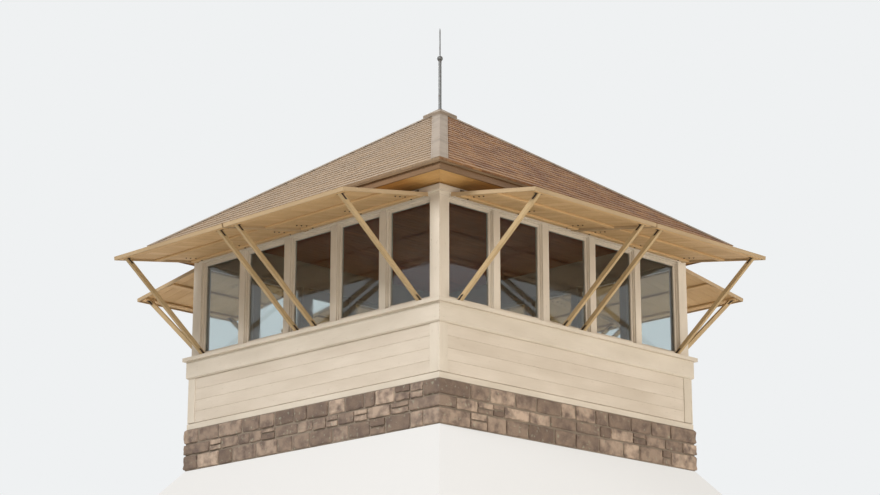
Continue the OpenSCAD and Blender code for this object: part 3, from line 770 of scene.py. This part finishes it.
chance = random.Random(31)
shingle_mesh = bmesh.new()
for number in range(4):
    place = on_slope(number)
    for course in range(-1, courses):
        butt = max(course, 0) * exposure
        half_line = eave_half * (1 - butt / slope_l)
        left = -half_line - chance.uniform(0.0, first_over)
        while left < half_line:
            right = left + chance.uniform(*shingle_w)
            sides = (left + shingle_gap / 2, right - shingle_gap / 2)
            if course < 0:
                part = shingle(*sides, 0.0, 0.0, -butt_t, cover_t - deck_panel_t - butt_t,
                               starter_l)
            else:
                part = shingle(*sides, butt + chance.uniform(0.0, butt_slip),
                               chance.uniform(-butt_skew, butt_skew),
                               -chance.uniform(0.0, settling), butt_t - settling, shingle_l)
            if max(abs(left), abs(right)) > half_line - shingle_l:
                part.transform(place)
                cut_at_hips(part, number)
                part.transform(place.inverted())
            if part.faces:
                join_part(shingle_mesh, part, place, chance, silvered=painted_sun_by_slope[number])
            else:
                part.free()
            left = right

# Weathered wood shingles: matt, tan to grey brown, split along the grain, each its own tone, with
# painted sunlight by slope.
shingle_wood, tree, shader = new_material("weathered_shingles_with_painted_sun")
place = grain_of_part(tree)
tone, silvered = [add(tree, "ShaderNodeAttribute", attribute_name=name).outputs["Fac"]
                  for name in ("tone", "silvered")]
# Splits are under 1 mm wide; 2 to 3 mm is the finest that shows from the camera.
lines = blotches(tree, place, 180, 3, 5.0)
colour = stained(tree, srgb("744c30"), tone, -1.0, 1.0, 1.0, "a3774c")
# Painted sunlight: a paler grey brown laid over each slope by its share.
colour = stained(tree, colour, silvered, 0.0, 1.0, 0.6, "b0a087")
colour = stained(tree, colour, blotches(tree, place, 400, 60, 4.0), 0.4, 0.7, 0.5, "97836d")
colour = stained(tree, colour, lines, 0.5, 0.72, 0.5, "5c4331")
colour = stained(tree, colour, blotches(tree, place, 260, 2.2), 0.7, 0.74, 0.8, "33261c")
finish(tree, shader, colour, lines, (0.8, 0.9), lines, 1.0)
shingles = new_piece("roof_shingles", shingle_mesh, shingle_wood)
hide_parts(*[wall + "_roof_slope" for wall in walls])

over_hips = 0.1
deck_mesh = bmesh.new()
for number in range(4):
    part = prism([(0.0, -eave_half - over_hips), (slope_l + over_hips, 0.0),
                  (0.0, eave_half + over_hips)], -cover_t, deck_panel_t - cover_t)
    for vertex in part.verts:
        if vertex.co.x < slope_l:
            vertex.co.x = vertex.co.z * math.tan(pitch_angle)
    part.transform(on_slope(number))
    cut_at_hips(part, number)
    join_part(deck_mesh, part, Matrix(), chance)
# Sawn roof boards: rough and darker brown, seen only as a line under the starter course.
deck_wood = bare_wood("sawn_roof_boards", "8d7350", "5d4630", grain_round_walls, 0.8)
roof_boards = new_piece("roof_boards", deck_mesh, deck_wood)
for piece in (shingles, roof_boards):
    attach(piece, "root")


# Hip flashing, peak cap and lightning rod
# Dull zinc sheet folded over the hips and nailed along both edges, with a zinc cap on the peak.
# The mast of the rod is grey steel tube on a flange, its ball and tip turned.
flash_t = 0.005
nail_from_hip = 0.076
nail_pitch, first_nail, peak_clear = 0.11, 0.23, 0.25
flashing_nail = turned([(0.0, 0.0), (0.007, 0.0), (0.005, 0.0018), (0.0, 0.0024)], 8)
chance = random.Random(41)
flashing_nail_mesh = bmesh.new()
for number in range(4):
    for i in range(round((eave_half - peak_clear) / nail_pitch)):
        along_hip = first_nail + i * nail_pitch
        away = along_hip + nail_from_hip / math.sqrt(2)
        beside = along_hip - nail_from_hip / math.sqrt(2)
        for side in (-1, 1):
            place = Matrix.Translation(((eave_half - away) / math.cos(pitch_angle), side * beside,
                                        flash_t))
            join_part(flashing_nail_mesh, flashing_nail.copy(), on_slope(number) @ place, chance)
flashing_nail.free()
# Weathered zinc sheet: chalky warm grey, since its bloom hides the metal, stained in patches.
zinc, tree, shader = new_material("weathered_zinc_sheet")
place = grain_along_x(tree)
# Spangle is about 10 mm wide; 25 mm is the finest that shows from the camera.
spangle = blotches(tree, place, 25, 25, 2.0)
stains = blotches(tree, place, 300, 300, 5.0)
colour = stained(tree, srgb("8e7e6d"), spangle, 0.3, 0.7, 1.0, "9d8c79")
colour = stained(tree, colour, stains, 0.45, 0.7, 0.6, "756656")
finish(tree, shader, colour, spangle, (0.7, 0.85), spangle, 0.1)
shader.inputs["Metallic"].default_value = 0.1
finish_nodes(zinc, "hip_flashing", "peak_cap")
flashing_nails = new_piece("flashing_nails", flashing_nail_mesh, zinc)
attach(flashing_nails, "root")
# Painted steel tube: mid grey and dull, with rust coming through in spots.
steel, tree, shader = new_material("grey_steel_tube")
rust = blotches(tree, grain_along_x(tree), 30, 30, 6.0)
colour = stained(tree, srgb("6f6f6d"), rust, 0.58, 0.68, 0.8, "5f4030")
finish(tree, shader, colour, rust, (0.45, 0.7), rust, 0.1)
shader.inputs["Metallic"].default_value = 0.8
finish_nodes(steel, "lightning_rod")


# Shutters
# Two to a wall, held open as awnings: planed boards running out from the wall on three bevelled
# ledges, with clenched nails, and a strip planted round the three free edges to keep rain out.
knuckle_r = 0.008
leaf_board_w, leaf_board_t, leaf_joint, leaf_arris = 0.14, 0.02, 0.0012, 0.003
ledge_w, ledge_t, ledge_bevel, ledge_in = 0.095, 0.024, 0.008, 0.03
ledge_shares, clench_share = (0.07, 0.5, 0.93), 0.28
strip_t, strip_arris = 0.014, 0.0015
hinge_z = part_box("shutter_rail")[0].z
leaf_t = leaf_board_t + ledge_t
pin_out = half_w + leaf_t + knuckle_r
leaf_w, leaf_drop = 1.275, 0.205
open_angle = math.asin(leaf_drop / leaf_w)
outer_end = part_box("front_shutters")[1].x
door_clear, leaf_gap = (bay_w + post_w) / 2, 0.03
clenched = block(Vector((-0.005, -0.0012, -0.001)), Vector((0.005, 0.0012, 0.0005)))
downwards = Matrix.Rotation(math.radians(180), 4, "X")
chance = random.Random(37)
# Tan oil paint, warmed all over by painted orange light bounced up onto the undersides: half chalky
# on the weather side, worn at every board's edge.
shutter_paint_and_painted_bounce = painted_wood("tan_paint_and_painted_bounce_on_shutters", "c5a273", "a48457", "8a6f4b",
                             grain_of_part, 0.5)
# The same paint bleached and thin on the edges that take the rain.
strip_paint = painted_wood("bleached_tan_paint", "b29874", "957e5e", "9a8566", grain_of_part, 0.7)


def inner_end(number):
    """Where a wall's two leaves begin: beside the door at the back, else beside their gap."""
    return door_clear if number == 2 else leaf_gap / 2


def opened_leaf(number, side):
    """Place of a leaf drawn with its pins on x, running out along -y, turned to its open place."""
    middle = side * (outer_end + inner_end(number)) / 2
    return (wall_turn(number) @ Matrix.Translation((middle, -pin_out, hinge_z))
            @ Matrix.Rotation(open_angle, 4, "X"))


for number, wall in enumerate(walls):
    length = outer_end - inner_end(number)
    board_count = round((length - 2 * strip_t) / leaf_board_w)
    board_w = (length - 2 * strip_t) / board_count
    board_l = leaf_w - strip_t
    leaf_mesh = bmesh.new()
    strip_mesh = bmesh.new()
    for side in (-1, 1):
        opened = opened_leaf(number, side)
        for i in range(board_count):
            x = strip_t + (i + 0.5) * board_w - length / 2
            part = board(board_l, board_w - leaf_joint, leaf_board_t, leaf_arris)
            place = (Matrix.Translation((x, -board_l / 2, -knuckle_r))
                     @ Matrix.Rotation(math.radians(90), 4, "Z"))
            join_part(leaf_mesh, part, opened @ place, chance)
            for share in ledge_shares:
                for end in (-1, 1):
                    nail_x = x + end * board_w * clench_share
                    nail_y = end * ledge_w / 4 - share * leaf_w
                    place = Matrix.Translation((nail_x, nail_y, -knuckle_r))
                    join_part(leaf_mesh, nail_head.copy(), opened @ place, chance)
                    place = Matrix.Translation((nail_x, nail_y, -knuckle_r - leaf_t))
                    join_part(leaf_mesh, clenched.copy(), opened @ place, chance)
        for share in ledge_shares:
            top = -knuckle_r - leaf_board_t
            outline = [(-ledge_w / 2, top), (-ledge_w / 2, top - ledge_t + ledge_bevel),
                       (ledge_bevel - ledge_w / 2, top - ledge_t),
                       (ledge_w / 2 - ledge_bevel, top - ledge_t),
                       (ledge_w / 2, top - ledge_t + ledge_bevel), (ledge_w / 2, top)]
            part = prism(outline, ledge_in - length / 2, length / 2 - ledge_in)
            part.transform(along_wall)
            place = Matrix.Translation((0, -share * leaf_w, 0))
            join_part(leaf_mesh, ease(part, 0.001), opened @ place, chance)
        for strip_l, middle, turn in ((length, (0, strip_t / 2 - leaf_w), 0),
                                      (board_l, (strip_t / 2 - length / 2, -board_l / 2), 90),
                                      (board_l, (length / 2 - strip_t / 2, -board_l / 2), 90)):
            part = ease(block(Vector((-strip_l / 2, -strip_t / 2, -knuckle_r - leaf_t)),
                              Vector((strip_l / 2, strip_t / 2, -knuckle_r))), strip_arris)
            place = (Matrix.Translation((*middle, 0))
                     @ Matrix.Rotation(math.radians(turn), 4, "Z"))
            join_part(strip_mesh, part, opened @ place, chance)
    leaf = new_piece(wall + "_shutter_boards", leaf_mesh, shutter_paint_and_painted_bounce)
    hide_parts(wall + "_shutters")
    strips = new_piece(wall + "_shutter_edge_strips", strip_mesh, strip_paint)
    for piece in (leaf, strips):
        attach(piece, "root")


# Shutter hinges and struts
# Forged strap hinges bolted through the boards, their plates screwed to the rail, and square
# struts from the sill to the outer ledge, each held at both ends by a pair of iron angles.
hinge_in, knuckle_l, strap_t = 0.18, 0.064, 0.004
ledge_bolt, *board_bolts = (ledge_shares[0] * leaf_w, 0.18, 0.26, 0.33)
plate_screws = ((-0.02, 0.018), (0.02, 0.018), (0.0, 0.042))
bolt_head = turned([(0.0, 0.0), (0.009, 0.0), (0.0075, 0.003), (0.004, 0.0048), (0.0, 0.0054)], 10)
bolt_end = turned([(0.0, 0.0), (0.004, 0.0), (0.004, 0.011), (0.003, 0.012), (0.0, 0.012)], 8)
nut = ease(block(Vector((-0.0075, -0.0075, 0.0)), Vector((0.0075, 0.0075, 0.007))), 0.001)
screw = turned([(0.0, 0.0), (0.0045, 0.0), (0.0035, 0.0008), (0.0, 0.001)], 8)
chance = random.Random(43)
bolt_mesh = bmesh.new()
for number in range(4):
    length = outer_end - inner_end(number)
    for side in (-1, 1):
        opened = opened_leaf(number, side)
        closed_pin = opened @ Matrix.Rotation(-open_angle, 4, "X")
        for i in (-1, 0, 1):
            x = i * (length / 2 - hinge_in)
            for end in (-1, 1):
                facing = Matrix.Rotation(math.radians(90 * end), 4, "Y")
                place = Matrix.Translation((x + end * knuckle_l / 2, 0, 0)) @ facing
                join_part(bolt_mesh, screw.copy(), closed_pin @ place, chance)
            for along, up in plate_screws:
                place = level_on_wall(x + along, strap_t - knuckle_r, up)
                join_part(bolt_mesh, screw.copy(), closed_pin @ place, chance)
            for out in (ledge_bolt, *board_bolts):
                depth = leaf_t if out == ledge_bolt else leaf_board_t
                place = Matrix.Translation((x, -out, strap_t - knuckle_r))
                join_part(bolt_mesh, bolt_head.copy(), opened @ place, chance)
                place = Matrix.Translation((x, -out, -knuckle_r - depth)) @ downwards
                join_part(bolt_mesh, nut.copy(), opened @ place, chance)
                join_part(bolt_mesh, bolt_end.copy(), opened @ place, chance)

strut_t, strut_in, strut_share = 0.038, 0.14, ledge_shares[-1]
sill_nose, sill_fall = 0.078, 0.018
iron_t, leg_half, iron_arris = 0.003, 0.014, 0.0006
cheek_l, cheek_bolt_at, foot_l, foot_screw_at = 0.085, 0.058, 0.034, 0.021


def strut_angle(base, along_base, along_strut, x, side):
    """An iron angle beside a strut at x: one leg up the strut, one on what it stands on."""
    half = along_base * leg_half
    off_base = Vector((-along_base.y, along_base.x))
    if off_base.dot(along_strut) < 0:
        off_base = -off_base
    lift = off_base * iron_t
    up = along_strut * cheek_l
    face = x + side * strut_t / 2
    angle = bmesh.new()
    for outline, reach in (((base - half, base + half, base + half + up, base - half + up), iron_t),
                           ((base - half, base + half, base + half + lift, base - half + lift),
                            foot_l)):
        leg = prism([point[:] for point in outline], *sorted((face, face + side * reach)))
        mesh = bpy.data.meshes.new("leg")
        ease(leg, iron_arris).to_mesh(mesh)
        leg.free()
        angle.from_mesh(mesh)
        bpy.data.meshes.remove(mesh)
    angle.transform(along_wall)
    at_cheek = base + along_strut * cheek_bolt_at
    cheek_place = (Matrix.Translation((face + side * iron_t, *at_cheek))
                   @ Matrix.Rotation(math.radians(90 * side), 4, "Y"))
    at_foot = base + lift
    foot_place = (Matrix.Translation((face + side * foot_screw_at, *at_foot))
                  @ Matrix.Rotation(math.atan2(-off_base.x, off_base.y), 4, "X"))
    return angle, cheek_place, foot_place


sill_foot = Vector((-half_w - sill_nose / 2, sill_z - sill_fall / 2))
on_sill = Vector((-sill_nose, -sill_fall)).normalized()
on_leaf = Vector((-math.cos(open_angle), -math.sin(open_angle)))
under_leaf = (Vector((math.sin(open_angle), -math.cos(open_angle))) * (knuckle_r + leaf_t)
              + Vector((-pin_out, hinge_z)) + on_leaf * strut_share * leaf_w)
up_strut = (under_leaf - sill_foot).normalized()
angle_mesh = bmesh.new()
for number in range(4):
    inner, outer = inner_end(number) + strut_in, outer_end - strut_in
    for x in (-outer, -inner, inner, outer):
        for side in (-1, 1):
            for ends in ((sill_foot, on_sill, up_strut), (under_leaf, on_leaf, -up_strut)):
                angle, cheek_place, foot_place = strut_angle(*ends, x, side)
                join_part(angle_mesh, angle, wall_turn(number), chance)
                join_part(angle_mesh, bolt_head.copy(), wall_turn(number) @ cheek_place, chance)
                join_part(angle_mesh, screw.copy(), wall_turn(number) @ foot_place, chance)

# Forged iron: nearly black, dull, with brown rust in small patches.
iron, tree, shader = new_material("blacksmiths_iron")
scale = blotches(tree, grain_along_x(tree), 14, 14, 5.0)
colour = stained(tree, srgb("3c3631"), scale, 0.5, 0.66, 1.0, "62463a")
finish(tree, shader, colour, scale, (0.5, 0.8), scale, 0.5)
shader.inputs["Metallic"].default_value = 0.7
finish_nodes(iron, "hinge_plates", "hinge_straps")
bolts = new_piece("hinge_bolts", bolt_mesh, iron)
angles = new_piece("strut_angles", angle_mesh, iron)
for piece in (bolts, angles):
    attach(piece, "root")
# The tan paint on planed struts, greyer than under the leaves, where more rain falls on it.
finish_nodes(painted_wood("tan_paint_on_struts", "b79d74", "98815c", "8a6f4b", grain_round_walls),
             *[wall + "_struts" for wall in walls])
for pattern in (nail_head, clenched, knob, keyhole, hinge_pin, bolt_head, bolt_end, nut, screw):
    pattern.free()
